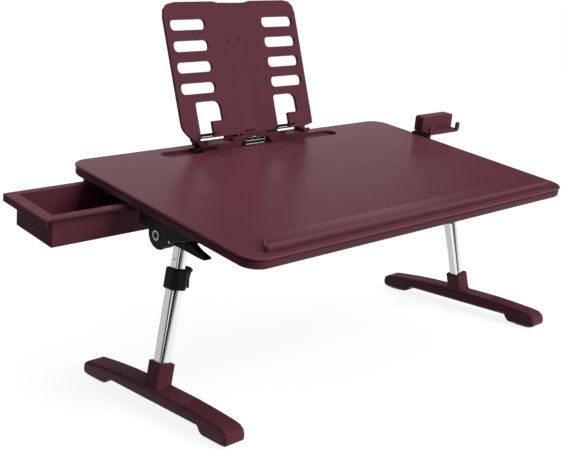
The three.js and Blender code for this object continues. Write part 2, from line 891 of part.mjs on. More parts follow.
function phoneRest() {
  const end = phoneX + phoneWidth;
  const middleX = phoneX + phoneWidth / 2;
  const backOutline = roundedRect(middleX, restHeight / 2, phoneWidth, restHeight, restCorner);
  const backFoot = ledgeRise + restThickness * Math.sin(restLean);
  const block = along(backOutline, 0, restThickness);
  block.rotateX(-restLean).translate(0, phoneRear - restThickness, backFoot);
  const hollowOutline = roundedRect(
    middleX,
    restHeight / 2,
    phoneWidth - 2 * restShell,
    restHeight - 2 * restShell,
    restCorner / 2,
  );
  const hollow = along(hollowOutline, restShell, restThickness + overrun);
  hollow.rotateX(-restLean).translate(0, phoneRear - restThickness, backFoot);
  const ledgeOutline = roundedRect(middleX, phoneV, phoneWidth, phoneJaw, restCorner);
  const ledge = solid(slab(ledgeOutline, ledgeRise, ledgeTop));
  const prongMiddle = ledgeRise + (prongHeight + ledgeThickness) / 2;
  const prongs = [phoneX + prongInset + prongWidth / 2, end - prongInset - prongWidth / 2].map((x) => {
    const outline = roundedRect(x, prongMiddle, prongWidth, prongHeight, edgeShare * prongWidth);
    return solid(along(outline, phoneFront, phoneFront + prongThickness));
  });
  const body = joined(cut(solid(block), solid(hollow)), ledge, ...prongs);
  return piece('phone_rest', body, burgundyPlastic);
}

function phoneClamp() {
  const outer = phoneX + clampWeb - seat;
  const shape = new THREE.Shape();
  shape.moveTo(topHalf - jawReach, seat);
  shape.lineTo(topHalf + seat, seat);
  shape.lineTo(topHalf + seat, underside - seat);
  shape.lineTo(topHalf - lowerJawReach, underside - seat);
  shape.lineTo(topHalf - lowerJawReach, underside - seat - jawThickness);
  shape.lineTo(outer, underside - seat - jawThickness);
  shape.lineTo(outer, ledgeRise - seat);
  shape.lineTo(topHalf - jawReach, ledgeRise - seat);
  shape.closePath();
  const body = solid(along(shape, phoneFront, phoneRear, seat));
  const x = topHalf - screwInset;
  const hole = solid(rodZ(screwRadius + seat, underside - jawThickness - overrun, underside, x, phoneV));
  return piece('phone_clamp', cut(body, hole), blackPlastic);
}

function clampScrew() {
  const x = topHalf - screwInset;
  const top = underside - seat - jawThickness - seat;
  const shaft = solid(rodZ(screwRadius, top - knobHeight / 2, underside - seat, x, phoneV));
  const knobFoot = top - knobHeight;
  const knob = solid(rodZ(knobRadius, knobFoot, top, x, phoneV));
  const dentReach = knobRadius + knobLobeRadius / 2;
  const dents = [];
  for (let i = 0; i < knobLobes; i += 1) {
    const angle = (2 * Math.PI * i) / knobLobes;
    const dentX = x + dentReach * Math.cos(angle);
    const dentY = phoneV + dentReach * Math.sin(angle);
    dents.push(solid(rodZ(knobLobeRadius, knobFoot - overrun, top + overrun, dentX, dentY, smallSides)));
  }
  return piece('phone_clamp_screw', joined(cut(knob, ...dents), shaft), blackPlastic);
}

// Legs. Left-hand pieces are drawn at negative x, and hand mirrors them for the right

const foldX = bracketX - foldInset;
const plateInner = -bracketX + plateThickness;
const wheelOuter = plateInner + seat;
const wheelInner = wheelOuter + wheelThickness;
const baseLow = underside - seat - foldBaseThickness;
const armTop = baseLow - plateClear;
const armFront = foldBaseFront + lugThickness + seat;
const armRear = foldBaseRear - lugThickness - seat;
const armFrontEnd = armFront + armFrontLength;
const armRearEnd = armRear - armRearLength;

function foldBore(from, to) {
  return solid(rodY(foldPinRadius + seat, from - overrun, to + overrun, -foldX, foldN, smallSides));
}

function foldBase(name, hand) {
  const top = underside - seat;
  const plate = solid(box(-foldX - foldBaseOut, foldBaseIn - foldX, foldBaseFront, foldBaseRear, baseLow, top));
  const lugs = [foldBaseFront, foldBaseRear - lugThickness].map((from) => {
    const shape = new THREE.Shape();
    shape.moveTo(-foldX - lugFlare, baseLow + seat);
    shape.lineTo(-foldX - lugRadius, foldN);
    shape.absarc(-foldX, foldN, lugRadius, Math.PI, 2 * Math.PI, false);
    shape.lineTo(-foldX + lugFlare, baseLow + seat);
    shape.closePath();
    return solid(along(shape, from, from + lugThickness));
  });
  const bore = foldBore(foldBaseFront, foldBaseRear);
  return piece(name, joined(plate, ...lugs).subtract(bore), blackPlastic, hand);
}

function foldPin(name, from, to, hand) {
  return piece(name, solid(rodY(foldPinRadius, from, to, -foldX, foldN, smallSides)), darkSteel, hand);
}

function sideBracket(name, hand) {
  const top = underside - plateClear;
  const shape = new THREE.Shape();
  shape.moveTo(armRear, top);
  shape.lineTo(plateFront, top);
  const frontDrop = top - plateFrontDrop;
  shape.quadraticCurveTo(plateFrontLow, top - plateFrontDrop / 2, plateFrontLow + plateFrontDrop, frontDrop);
  shape.lineTo(plateLowV, plateLowN);
  shape.lineTo(leverV - leverHub, plateLowN - leverHub / 2);
  const lobeStartV = pivotV + lobeRadius * Math.cos(lobeStart);
  const lobeStartN = pivotN + lobeRadius * Math.sin(lobeStart);
  shape.quadraticCurveTo(leverV, leverN - leverHub - plateClear, lobeStartV, lobeStartN);
  shape.absarc(pivotV, pivotN, lobeRadius, lobeStart, lobeEnd, false);
  shape.lineTo(armRear, armBottom);
  shape.closePath();
  const plate = solid(across(shape, -bracketX, plateInner, plateClear));
  const arms = [
    [armFront, armFrontEnd],
    [armRearEnd, armRear],
  ].flatMap(([from, to]) => [
    solid(box(plateInner - plateClear, -foldX, from, to, armBottom, armTop)),
    solid(rodY(foldBarrelRadius, from, to, -foldX, foldN)),
  ]);
  const slotRear = armFrontEnd + overrun;
  const slotTop = armTop - plateClear;
  const leverSlot = solid(box(plateInner, wheelInner + seat, armFront - overrun, slotRear, pivotN, slotTop));
  const outer = -bracketX - overrun;
  const bores = [
    foldBore(armFront, armRear),
    solid(rodX(boltRadius + seat, outer, plateInner + overrun, pivotV, pivotN)),
    solid(rodX(leverPinRadius + seat, outer, plateInner + overrun, leverV, leverN, smallSides)),
  ];
  return piece(name, cut(joined(plate, ...arms), leverSlot, ...bores), blackPlastic, hand);
}

function tiltRing(name, hand) {
  const ring = solid(rodX(ringOuter, -bracketX - seat - ringThickness, -bracketX - seat, pivotV, pivotN));
  const hole = solid(rodX(boltRadius + seat, -bracketX - overrun, -bracketX + overrun, pivotV, pivotN));
  return piece(name, ring.subtract(hole), brightSteel, hand);
}

function tiltBolt(name, hand) {
  const outer = -bracketX - seat - boltHead;
  const body = solid(rodX(boltRadius, outer, outer + boltLength, pivotV, pivotN));
  const socket = solid(rodX(socketAcross, outer - overrun, outer + socketDepth, pivotV, pivotN, 6));
  return piece(name, body.subtract(socket), darkSteel, hand);
}

function releaseLever(name, hand) {
  const from = wheelOuter;
  const shape = roundedPolygon(
    [
      [leverV + leverNoseV, leverN + leverNoseN],
      [leverV + leverHub, leverN],
      [leverV, leverN + leverHub],
      [leverV + leverNeckV, leverN + leverNeckTop],
      [leverV + leverTailV, leverN + leverTailN + leverTailRadius],
      [leverV + leverTailV - leverTailRadius, leverN + leverTailN - leverTailRadius],
      [leverV + leverNeckV, leverN - leverTailDrop],
      [leverV, leverN - leverHub],
      [leverV + leverNoseV - plateClear, leverN + leverNoseN - plateClear],
    ],
    [0, leverHub / 3, leverHub, leverHub, leverTailRadius, leverTailRadius, leverHub, leverHub, 0],
  );
  const body = solid(across(shape, from, from + leverWidth, plateClear / 2));
  const to = from + leverWidth;
  const bore = solid(rodX(leverPinRadius + seat, from - overrun, to + overrun, leverV, leverN, smallSides));
  return piece(name, cut(body, bore), blackPlastic, hand);
}

function leverPin(name, hand) {
  const outer = -bracketX - leverPinHead;
  const body = solid(rodX(leverPinRadius, outer, wheelOuter + leverWidth, leverV, leverN, smallSides));
  return piece(name, body, brightSteel, hand);
}

// Leg frame: z runs up the leaning tubes, and the ground is met at z = 0
function leaned(geometry) {
  return geometry.rotateY(legLean).translate(-legFootX, legY, 0);
}

function legHead(name, hand) {
  const wheelOutline = toothedOutline(legY, pivotHeight, wheelRadius, wheelToothDepth, wheelTeeth);
  const wheel = solid(across(wheelOutline, wheelOuter, wheelInner));
  const low = pivotHeight + neckBottom;
  const high = pivotHeight + neckTop;
  const neckInner = wheelInner + neckReach;
  const neckShape = roundedPolygon(
    [
      [wheelInner - seat, low + neckRound],
      [neckInner - (high - low) * Math.tan(legLean), low],
      [neckInner, high],
      [wheelInner - seat, high],
    ],
    [0, neckRound, neckRound, 0],
  );
  const neck = solid(along(neckShape, legY - neckHalfDepth, legY + neckHalfDepth, plateClear));
  const socketSize = innerTubeSize + 2 * seat;
  const socketOutline = roundedRect(0, 0, socketSize, socketSize, innerTubeRound);
  const socket = solid(leaned(slab(socketOutline, 0, innerTubeTop + seat)));
  const bore = solid(rodX(boltRadius + seat, -bracketX, -bracketX + boltLength + seat, legY, pivotHeight));
  return piece(name, cut(joined(wheel, neck), socket, bore), blackPlastic, hand);
}

function squareTube(size, wall, radius, low, high) {
  const outside = solid(slab(roundedRect(0, 0, size, size, radius), low, high));
  const inner = size - 2 * wall;
  const bore = roundedRect(0, 0, inner, inner, radius - wall / 2);
  const inside = solid(slab(bore, low - overrun, high + overrun));
  return outside.subtract(inside);
}

function innerTube(name, hand) {
  const tube = squareTube(innerTubeSize, innerTubeWall, innerTubeRound, innerTubeBottom, innerTubeTop);
  const face = -innerTubeSize / 2;
  const wallIn = face + innerTubeWall + seat;
  const dimple = solid(rodX(dimpleRadius, face - overrun, wallIn, 0, dimpleHeight, smallSides));
  return piece(name, cut(tube, dimple), polishedTube, hand);
}

function outerTube(name, hand) {
  const tube = squareTube(outerTubeSize, outerTubeWall, outerTubeRound, outerTubeBottom, outerTubeTop);
  return piece(name, tube, polishedTube, hand);
}

const camX = collarSize / 2 + camPivotOut;
const camZ = collarTop - camPivotDrop;

function collar(name, hand) {
  const outline = roundedRect(0, 0, collarSize, collarSize, collarRound);
  const body = solid(slab(outline, collarBottom, collarTop, collarEdge));
  const outerFit = outerTubeSize + 2 * seat;
  const innerFit = innerTubeSize + 2 * seat;
  const lowOutline = roundedRect(0, 0, outerFit, outerFit, outerTubeRound);
  const highOutline = roundedRect(0, 0, innerFit, innerFit, innerTubeRound);
  const lowBore = solid(slab(lowOutline, collarBottom - overrun, outerTubeTop + seat));
  const highBore = solid(slab(highOutline, outerTubeTop - overrun, collarTop + overrun));
  const ears = [-1, 1].map((side) => {
    const near = side * (camGap / 2);
    const far = side * (camGap / 2 + earThickness);
    const shape = new THREE.Shape();
    shape.moveTo(collarSize / 2 - earThickness, camZ - earHeight / 2);
    shape.lineTo(camX, camZ - earHeight / 4);
    shape.absarc(camX, camZ, earHeight / 4, -Math.PI / 2, Math.PI / 2, false);
    shape.lineTo(collarSize / 2 - earThickness, collarTop - collarEdge);
    shape.closePath();
    return solid(along(shape, Math.min(near, far), Math.max(near, far)));
  });
  const pinHole = solid(rodY(camPinRadius + seat, -collarSize, collarSize, camX, camZ, smallSides));
  return piece(name, cut(joined(body, ...ears), lowBore, highBore, pinHole), blackPlastic, hand);
}

function camLever(name, hand) {
  const half = camGap / 2 - seat;
  const cam = solid(rodY(camRadius, -half, half, camX, camZ));
  const from = camX - camArmThickness / 2;
  const arm = roundedPolygon(
    [
      [from, camZ],
      [from, camZ - camArm],
      [from + camArmThickness + camTip, camZ - camArm - camTip],
      [from + camArmThickness + camTip / 4, camZ - camArm / 2],
      [camX + camRadius, camZ],
    ],
    [0, camTip / 2, camTip / 2, camTip, 0],
  );
  const pinHole = solid(rodY(camPinRadius + seat, -collarSize, collarSize, camX, camZ, smallSides));
  return piece(name, cut(joined(cam, solid(along(arm, -half, half))), pinHole), blackPlastic, hand);
}

function camPin(name, hand) {
  const half = camGap / 2 + earThickness;
  return piece(name, solid(rodY(camPinRadius, -half, half, camX, camZ, smallSides)), darkSteel, hand);
}

function foot(name, hand) {
  const rear = footY + footLength / 2;
  const front = footY - footLength / 2;
  const profile = new THREE.Shape();
  profile.moveTo(front + footEndRound, footClear);
  profile.lineTo(archFront - archRamp / 2, footClear);
  profile.quadraticCurveTo(archFront, footClear, archFront + archRamp / 2, archHeight);
  profile.lineTo(archRear - archRamp / 2, archHeight);
  profile.quadraticCurveTo(archRear, footClear, archRear + archRamp, footClear);
  profile.lineTo(rear - footEndRound, footClear);
  profile.quadraticCurveTo(rear, footClear, rear, footEndRound);
  profile.quadraticCurveTo(rear, footRearHeight, rear - footEndRound * 2, footRearHeight);
  profile.quadraticCurveTo(footY + footLength / 4, footMidHeight, legY + footFlat, footMidHeight);
  profile.lineTo(legY - footFlat, footMidHeight);
  profile.quadraticCurveTo(footY - footLength / 4, footMidHeight, front + 2 * footEndRound, footFrontHeight);
  profile.quadraticCurveTo(front, footFrontHeight, front, footEndRound);
  profile.quadraticCurveTo(front, footClear, front + footEndRound, footClear);
  const outer = -footInner - footWidth;
  const bar = solid(across(profile, outer, -footInner, footEdge));
  const middleX = (outer - footInner) / 2;
  const planOutline = roundedRect(middleX, footY, footWidth, footLength, footPlanCorner);
  const plan = solid(slab(planOutline, 0, footMidHeight + overrun));

  // Post that the outer tube stands in, leaning with the leg and flaring into the foot
  const postShape = new THREE.Shape();
  const half = postWidth / 2;
  const flareLow = footMidHeight - footEdge;
  postShape.moveTo(-half - postFlare, flareLow);
  postShape.quadraticCurveTo(-half, flareLow, -half, footMidHeight + postFlare);
  postShape.lineTo(-half, postTop);
  postShape.lineTo(half, postTop);
  postShape.lineTo(half, footMidHeight + postFlare);
  postShape.quadraticCurveTo(half, flareLow, half + postFlare, flareLow);
  postShape.lineTo(half + postFlare, archHeight + footEdge);
  postShape.lineTo(-half - postFlare, archHeight + footEdge);
  postShape.closePath();
  const post = solid(leaned(across(postShape, -half, half, footEdge / 2)));
  const socketSize = outerTubeSize + 2 * seat;
  const socketOutline = roundedRect(0, 0, socketSize, socketSize, outerTubeRound);
  const socket = solid(leaned(slab(socketOutline, outerTubeBottom - seat, postTop + overrun)));
  const padHoles = padCentres().map((y) =>
    solid(slab(padOutline(middleX, y, seat), -overrun, padThickness + seat)),
  );
  const body = joined(bar.intersect(plan), post);
  return piece(name, cut(body, socket, ...padHoles), burgundyPlastic, hand);
}

function padCentres() {
  const reach = footLength / 2 - padInset - padLength / 2;
  return [footY - reach, footY + reach];
}

function padOutline(x, y, grow) {
  return roundedRect(x, y, padWidth + 2 * grow, padLength + 2 * grow, padCorner);
}

function footPad(name, y, hand) {
  const x = -footInner - footWidth / 2;
  return piece(name, solid(slab(padOutline(x, y, 0), 0, padThickness)), blackRubber, hand);
}

// Assembly

const deck = new THREE.Group();
deck.position.set(
  0,
  legY - (pivotV * Math.cos(tilt) - pivotN * Math.sin(tilt)),
  pivotHeight - (pivotV * Math.sin(tilt) + pivotN * Math.cos(tilt)),
);
deck.rotation.x = tilt;
deck.add(topSkin(), topBoard(), wristRidge());
deck.add(drawerTray(), drawerStop());
deck.add(drawerRail('drawer_rail_front', -1), drawerRail('drawer_rail_rear', 1));
deck.add(bookStand());
deck.add(phoneRest(), phoneClamp(), clampScrew());

const desk = new THREE.Group();
desk.add(deck);

for (const [side, hand] of [['left', 1], ['right', -1]]) {
  deck.add(foldBase(`fold_base_${side}`, hand));
  deck.add(foldPin(`fold_pin_front_${side}`, foldBaseFront, armFrontEnd, hand));
  deck.add(foldPin(`fold_pin_rear_${side}`, armRearEnd, foldBaseRear, hand));
  deck.add(sideBracket(`side_bracket_${side}`, hand));
  deck.add(tiltRing(`tilt_ring_${side}`, hand), tiltBolt(`tilt_bolt_${side}`, hand));
  deck.add(releaseLever(`release_lever_${side}`, hand), leverPin(`lever_pin_${side}`, hand));

  const leg = new THREE.Group();
  leg.position.set(-hand * legFootX, legY, 0);
  leg.rotation.y = hand * legLean;
  leg.add(innerTube(`inner_tube_${side}`, hand), outerTube(`outer_tube_${side}`, hand));
  leg.add(collar(`collar_${side}`, hand));
  leg.add(camLever(`cam_lever_${side}`, hand), camPin(`cam_pin_${side}`, hand));

  const [frontY, rearY] = padCentres();
  desk.add(leg, legHead(`leg_head_${side}`, hand), foot(`foot_${side}`, hand));
  desk.add(footPad(`foot_pad_front_${side}`, frontY, hand), footPad(`foot_pad_rear_${side}`, rearY, hand));
}

// The origin is the middle of the footprint, on the ground
const bounds = new THREE.Box3().setFromObject(desk, true);
const middle = bounds.getCenter(new THREE.Vector3());
desk.position.set(-middle.x, -middle.y, -bounds.min.z);

export default desk;
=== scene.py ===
"""Burgundy folding lap desk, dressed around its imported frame.

Most pieces are the frame's own solids with their edges rounded. The others, and the cards that
stand beside the legs, are modelled in the local axes of the deck, the book stand, a lever, a leg or
a hinge, in millimetres, and then set into the frame in metres.
"""

import json
import math

import bmesh
import bpy
from mathutils import Matrix, Vector


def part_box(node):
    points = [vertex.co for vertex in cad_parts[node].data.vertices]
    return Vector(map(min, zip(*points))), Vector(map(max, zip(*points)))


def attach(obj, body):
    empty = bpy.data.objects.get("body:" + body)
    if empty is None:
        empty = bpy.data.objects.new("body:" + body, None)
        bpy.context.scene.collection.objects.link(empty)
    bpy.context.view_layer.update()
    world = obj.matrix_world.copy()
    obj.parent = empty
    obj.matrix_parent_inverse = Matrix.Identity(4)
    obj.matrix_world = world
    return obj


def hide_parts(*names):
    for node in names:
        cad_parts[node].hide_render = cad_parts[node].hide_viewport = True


bl_info = {
    "name": "Folding lap desk",
    "version": (1, 0, 0),
    "blender": (4, 5, 0),
    "location": "View3D > Sidebar > Lap desk",
    "description": "Models a folding lap desk with a book stand, drawer and phone rest",
    "category": "Add Mesh",
}

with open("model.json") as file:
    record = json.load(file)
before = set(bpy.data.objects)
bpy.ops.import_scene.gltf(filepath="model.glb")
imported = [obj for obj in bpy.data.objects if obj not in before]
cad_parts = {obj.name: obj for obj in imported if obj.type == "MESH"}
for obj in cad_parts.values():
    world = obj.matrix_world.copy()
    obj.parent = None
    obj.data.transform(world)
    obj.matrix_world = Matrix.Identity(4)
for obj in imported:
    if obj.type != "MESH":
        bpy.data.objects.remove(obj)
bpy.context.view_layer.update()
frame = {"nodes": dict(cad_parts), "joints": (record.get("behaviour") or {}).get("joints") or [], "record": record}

MM = 0.001
SIDES = ("left", "right")


# Places read from the frame

def mount(name):
    """The place and the axis of one of the record's mounts."""
    found = next(m for m in frame["record"]["mounts"] if m["name"] == name)
    return Vector(found["pos_m"]), Vector(found["axis"])


def joint(name):
    return next(j for j in frame["joints"] if j["name"] == name)


def axes(origin, x, y):
    """A matrix from local millimetres to the frame, with x and y given and z square to both."""
    z = x.cross(y).normalized()
    turn = Matrix((x, y, z)).transposed().to_4x4()
    return Matrix.Translation(origin) @ turn @ Matrix.Scale(MM, 4)


def deck_axes():
    """The desk top's own axes: x to the right, y to the back, z square to the top."""
    origin, up = mount("top_surface")
    across = Vector((1, 0, 0))
    return axes(origin, across, up.cross(across).normalized())


def stand_axes():
    """The book stand's own axes, from where it tilts: x to the right, y to the back, z up."""
    front = mount("book_stand_face")[1]
    return axes(Vector(joint("stand_tilt")["pos_m"]), Vector((1, 0, 0)), -front.normalized())


def leg_axes(side):
    """The leg's own axes: z up the tubes, from where their middle line meets the ground."""
    up = Vector(joint(f"extend_{side}")["axis"]).normalized()
    low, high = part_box(f"inner_tube_{side}")
    middle = (low + high) / 2
    back = Vector((0, 1, 0))
    return axes(middle - up * (middle.z / up.z), back.cross(up), back)


# Colours

def srgb(code):
    """Linear red, green and blue of an sRGB hex colour."""
    parts = [int(code[i:i + 2], 16) / 255 for i in (1, 3, 5)]
    return tuple(c / 12.92 if c <= 0.04045 else ((c + 0.055) / 1.055) ** 2.4 for c in parts)


class LapDeskColours(bpy.types.PropertyGroup):
    """Colours of the moulded and metal parts."""

    skin: bpy.props.FloatVectorProperty(
        name="Top skin", description="Burgundy laminate of the top", subtype="COLOR",
        default=srgb("#66333e"))
    plastic: bpy.props.FloatVectorProperty(
        name="Burgundy plastic", description="Drawer, stand, phone rest and feet", subtype="COLOR",
        default=srgb("#66353f"))
    black: bpy.props.FloatVectorProperty(
        name="Black plastic", description="Brackets, levers and collars", subtype="COLOR",
        default=srgb("#1d1b1b"))
    tube: bpy.props.FloatVectorProperty(
        name="Tube", description="Polished leg tubes", subtype="COLOR", default=srgb("#f0f0f2"))
    rubber: bpy.props.FloatVectorProperty(
        name="Rubber", description="Pads under the feet", subtype="COLOR", default=srgb("#161616"))


class LapDeskSizes(bpy.types.PropertyGroup):
    """Softness of the edges."""

    moulded_edge: bpy.props.FloatProperty(
        name="Moulded edge", description="Radius on the edges of plastic pieces, in millimetres",
        default=0.5, min=0.05, max=2)
    skin_edge: bpy.props.FloatProperty(
        name="Skin edge", description="Radius on the edges of the top's skin, in millimetres",
        default=0.9, min=0.05, max=1.2)
    foot_edge: bpy.props.FloatProperty(
        name="Foot edge", description="Radius on the edges of the feet, in millimetres",
        default=1.2, min=0.1, max=3)
    metal_edge: bpy.props.FloatProperty(
        name="Metal edge", description="Radius on the edges of metal pieces, in millimetres",
        default=0.2, min=0.02, max=1)
    edge_steps: bpy.props.IntProperty(
        name="Edge steps", description="Facets across a rounded edge", default=3, min=1, max=8)


# Materials

# Plastic: millimetres across the patches where its colour drifts, and by how much its colour and
# its roughness drift
MOULDED_PATCH, MOULDED_DRIFT, GLOSS_DRIFT = 60.0, 0.05, 0.05
# Top skin: millimetres across the patches of its colour and how much that drifts, and the same
# patches and the range of its roughness
SKIN_PATCH, SKIN_DRIFT = 90.0, 0.04
RUBBED_PATCH, RUBBED_LOW, RUBBED_HIGH = 35.0, 0.3, 0.38
# Top skin: millimetres across its pebbles and creases, and how deep they are
PEBBLE, CREASE, PEBBLE_DEPTH = 1.1, 0.5, 0.05
# Metal: millimetres across its scratches and how deep they are, and the colours of steel
SCRATCH, SCRATCH_DEPTH = 0.6, 0.02
ZINC, BLACKENED = srgb("#c9cbce"), srgb("#4a4a4d")


def add(tree, kind, settings=None, links=None):
    """Adds a node, sets its sockets or properties, and links other nodes' outputs into it."""
    node = tree.nodes.new(kind)
    for key, value in (settings or {}).items():
        if isinstance(key, int) or key in node.inputs:
            node.inputs[key].default_value = value
        else:
            setattr(node, key, value)
    for key, output in (links or {}).items():
        tree.links.new(output, node.inputs[key])
    return node


def new_material(name):
    material = bpy.data.materials.new(name)
    material.use_nodes = True
    material.node_tree.nodes.clear()
    return material, material.node_tree


def per_mm(size):
    """Texture scale, on coordinates in metres, that repeats once in so many millimetres."""
    return 1 / (size * MM)


def noise(tree, place, size, detail):
    """Noise whose features are so many millimetres across."""
    return add(tree, "ShaderNodeTexNoise", {"Scale": per_mm(size), "Detail": detail},
               {"Vector": place})


def between(tree, value, low, high):
    """The value, from 0 to 1, as a share of the way from low to high."""
    return add(tree, "ShaderNodeMapRange", {"To Min": low, "To Max": high}, {"Value": value})


def varied_colour(tree, place, colour, spread, patch):
    """The colour, drifting lighter and darker by spread over patches of so many millimetres."""
    cloud = noise(tree, place, patch, 3.0)
    shade = between(tree, cloud.outputs["Fac"], 1 - spread, 1 + spread)
    return add(tree, "ShaderNodeHueSaturation", {"Color": (*colour, 1)},
               {"Value": shade.outputs["Result"]})


def grey(level):
    return (level, level, level, 1)


def principled(tree, settings, gloss, relief, tone=None):
    """The finish's surface, with its roughness and relief and, if it varies, its colour."""
    links = {"Roughness": gloss.outputs["Result"], "Normal": relief.outputs["Normal"]}
    if tone is not None:
        links["Base Color"] = tone.outputs["Color"]
    surface = add(tree, "ShaderNodeBsdfPrincipled", settings, links)
    add(tree, "ShaderNodeOutputMaterial", links={"Surface": surface.outputs["BSDF"]})


def moulded(name, colour, grain, depth, roughness, specular):
    """Injection-moulded plastic from a spark-eroded tool: a fine grain that blurs its gloss."""
    material, tree = new_material(name)
    place = add(tree, "ShaderNodeTexCoord").outputs["Object"]
    tone = varied_colour(tree, place, colour, MOULDED_DRIFT, MOULDED_PATCH)
    pits = noise(tree, place, grain, 2.0)
    relief = add(tree, "ShaderNodeBump", {"Strength": 0.35, "Distance": depth * MM},
                 {"Height": pits.outputs["Fac"]})
    worn = noise(tree, place, MOULDED_PATCH / 4, 4.0)
    gloss = between(tree, worn.outputs["Fac"], roughness - GLOSS_DRIFT, roughness + GLOSS_DRIFT)
    principled(tree, {"IOR": 1.5, "Specular IOR Level": specular}, gloss, relief, tone)
    return material


def leather_laminate(name, colour):
    """Polyurethane leather laminate: shallow pebbles a millimetre across under a satin coat."""
    material, tree = new_material(name)
    place = add(tree, "ShaderNodeTexCoord").outputs["Object"]
    tone = varied_colour(tree, place, colour, SKIN_DRIFT, SKIN_PATCH)
    pebbles = add(tree, "ShaderNodeTexVoronoi",
                  {"Scale": per_mm(PEBBLE), "feature": "SMOOTH_F1"}, {"Vector": place})
    creases = noise(tree, place, CREASE, 3.0)
    grain = add(tree, "ShaderNodeMath", {"operation": "MULTIPLY_ADD", 1: 0.5},
                {0: creases.outputs["Fac"], 2: pebbles.outputs["Distance"]})
    relief = add(tree, "ShaderNodeBump", {"Strength": 0.22, "Distance": PEBBLE_DEPTH * MM},
                 {"Height": grain.outputs["Value"]})
    rubbed = noise(tree, place, RUBBED_PATCH, 4.0)
    gloss = between(tree, rubbed.outputs["Fac"], RUBBED_LOW, RUBBED_HIGH)
    principled(tree, {"IOR": 1.5, "Specular IOR Level": 0.38}, gloss, relief, tone)
    return material


def drawn_metal(name, colour, roughness):
    """Metal whose gloss is broken by fine scratches all ways."""
    material, tree = new_material(name)
    place = add(tree, "ShaderNodeTexCoord").outputs["Object"]
    streaks = noise(tree, place, SCRATCH, 3.0)
    gloss = between(tree, streaks.outputs["Fac"], roughness * 0.7, roughness * 1.3)
    relief = add(tree, "ShaderNodeBump", {"Strength": 0.06, "Distance": SCRATCH_DEPTH * MM},
                 {"Height": streaks.outputs["Fac"]})
    principled(tree, {"Metallic": 1.0, "Base Color": (*colour, 1)}, gloss, relief)
    return material


def make_materials(colours):
    """Every finish of the desk, by the material slot of the record that it stands for."""
    return {
        "burgundy_leather_skin": leather_laminate(
            "Satin_PU_leather_laminate_burgundy", colours.skin),
        "burgundy_plastic": moulded(
            "Moulded_ABS_satin_burgundy", colours.plastic,
            grain=0.5, depth=0.04, roughness=0.42, specular=0.12),
        "black_board": moulded(
            "Lacquered_fibreboard_burgundy", colours.plastic,
            grain=0.8, depth=0.05, roughness=0.45, specular=0.12),
        "black_plastic": moulded(
            "Moulded_ABS_satin_black", colours.black,
            grain=0.5, depth=0.04, roughness=0.45, specular=0.2),
        "polished_tube": drawn_metal("Polished_drawn_aluminium", colours.tube, roughness=0.12),
        "bright_steel": drawn_metal("Zinc_plated_steel", ZINC, roughness=0.22),
        "dark_steel": drawn_metal("Blackened_steel", BLACKENED, roughness=0.35),
        "black_rubber": moulded(
            "Moulded_rubber_black", colours.rubber,
            grain=0.4, depth=0.05, roughness=0.8, specular=0.3),
    }


materials = {}


# Pieces

# Edges that turn by more than this many degrees are rounded
SHARP = 28
# Edges shorter than this, in millimetres, are closed up, so that they leave room for the rounding
SHORTEST_EDGE = 0.17
# Neighbours that turn by less than this many degrees are one flat face
FLAT = 1

# Wrist ridge: half its length in front and behind, the round of its corners in plan, the height at
# which it is modelled before it is flattened, and the round of its top at that height
RIDGE_FRONT, RIDGE_REAR = 275.0, 250.0
RIDGE_CORNER, RIDGE_SWELL, RIDGE_ROUND = 10.8, 8.5, 6.5

# Lattice on the stand's pawl, whose bars are bright steel: painted highlight for its lit black ribs
PAWL_GRID, PAWL_BAR, PAWL_BAR_EDGE = 36.0, 2.2, 0.2
PAWL_COLUMNS, PAWL_ROWS = 3, 2

# Folds of the stand's panel, in degrees, that stay crisp
FOLD_LEAST, FOLD_MOST = 2, 12
# Cosines from which a face counts as looking a given way: beside the folds, and under the top
FACING, ROUGHLY_FACING = 0.98, 0.9

# Black plates of painted shade, as left, right, low and high edges: in the panel's key slot, with
# the depths that it fills, where the recess is in shade, and on the front of the base, where a
# pocket of shade falls
KEY_SLOT, KEY_SLOT_DEPTHS = (-13.9, 5.0, 3.5, 5.9), (-5.2, -3.0)
BASE_SHADE_PLATE, BASE_SHADE_PLATE_THICKNESS = (-118.0, -73.0, 0.4, 4.6), 1.0

# Release lever, back and up from its pin
LEVER_OUTLINE = (
    (8.2, -8.2), (5.6, 0), (4.0, 4.0), (0, 5.6), (-12, 7.6), (-24, 8.6), (-32.5, 7.5),
    (-38.8, 4.8), (-44.8, 2.9), (-53, 1.6), (-58.6, 0.7), (-60.6, -0.4), (-60.6, -1.9),
    (-58.6, -2.9), (-54, -3.7), (-40.8, -4.4), (-18, -4.6), (0, -5.6), (4.5, -7.4), (7.0, -9.4),
)

slots = {part["node"]: part["material_slot"] for part in frame["record"]["subparts"]}
body_of = {
    node: body for body, nodes in frame["record"]["behaviour"]["bodies"].items() for node in nodes
}


def linked(name, data):
    """An object of the scene that shows the data."""
    made = bpy.data.objects.new(name, data)
    bpy.context.scene.collection.objects.link(made)
    return made


def meshed(name, form):
    """A mesh from a bmesh, which it frees."""
    mesh = bpy.data.meshes.new(name)
    form.to_mesh(mesh)
    form.free()
    return mesh


def riding(name, form, body, slot):
    """A smooth finished object from a bmesh in the frame, on its body and in its material slot."""
    mesh = meshed(name, form)
    mesh.shade_smooth()
    made = linked(name, mesh)
    mesh.materials.append(materials[slot])
    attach(made, body)
    return made


def piece(name, form, node):
    """A finished object that stands for the node."""
    made = riding(name, form, body_of[node], slots[node])
    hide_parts(node)
    return made


def soften(made, radius, steps):
    """Rounds every sharp edge and keeps the faces beside it flat."""
    bevel = made.modifiers.new("Soft edges", "BEVEL")
    bevel.limit_method = "ANGLE"
    bevel.angle_limit = math.radians(SHARP)
    bevel.width = radius * MM
    bevel.segments = steps
    bevel.use_clamp_overlap = True
    even = made.modifiers.new("Flat faces", "WEIGHTED_NORMAL")
    even.mode = "FACE_AREA"
    even.weight = 100
    even.keep_sharp = True
    return made


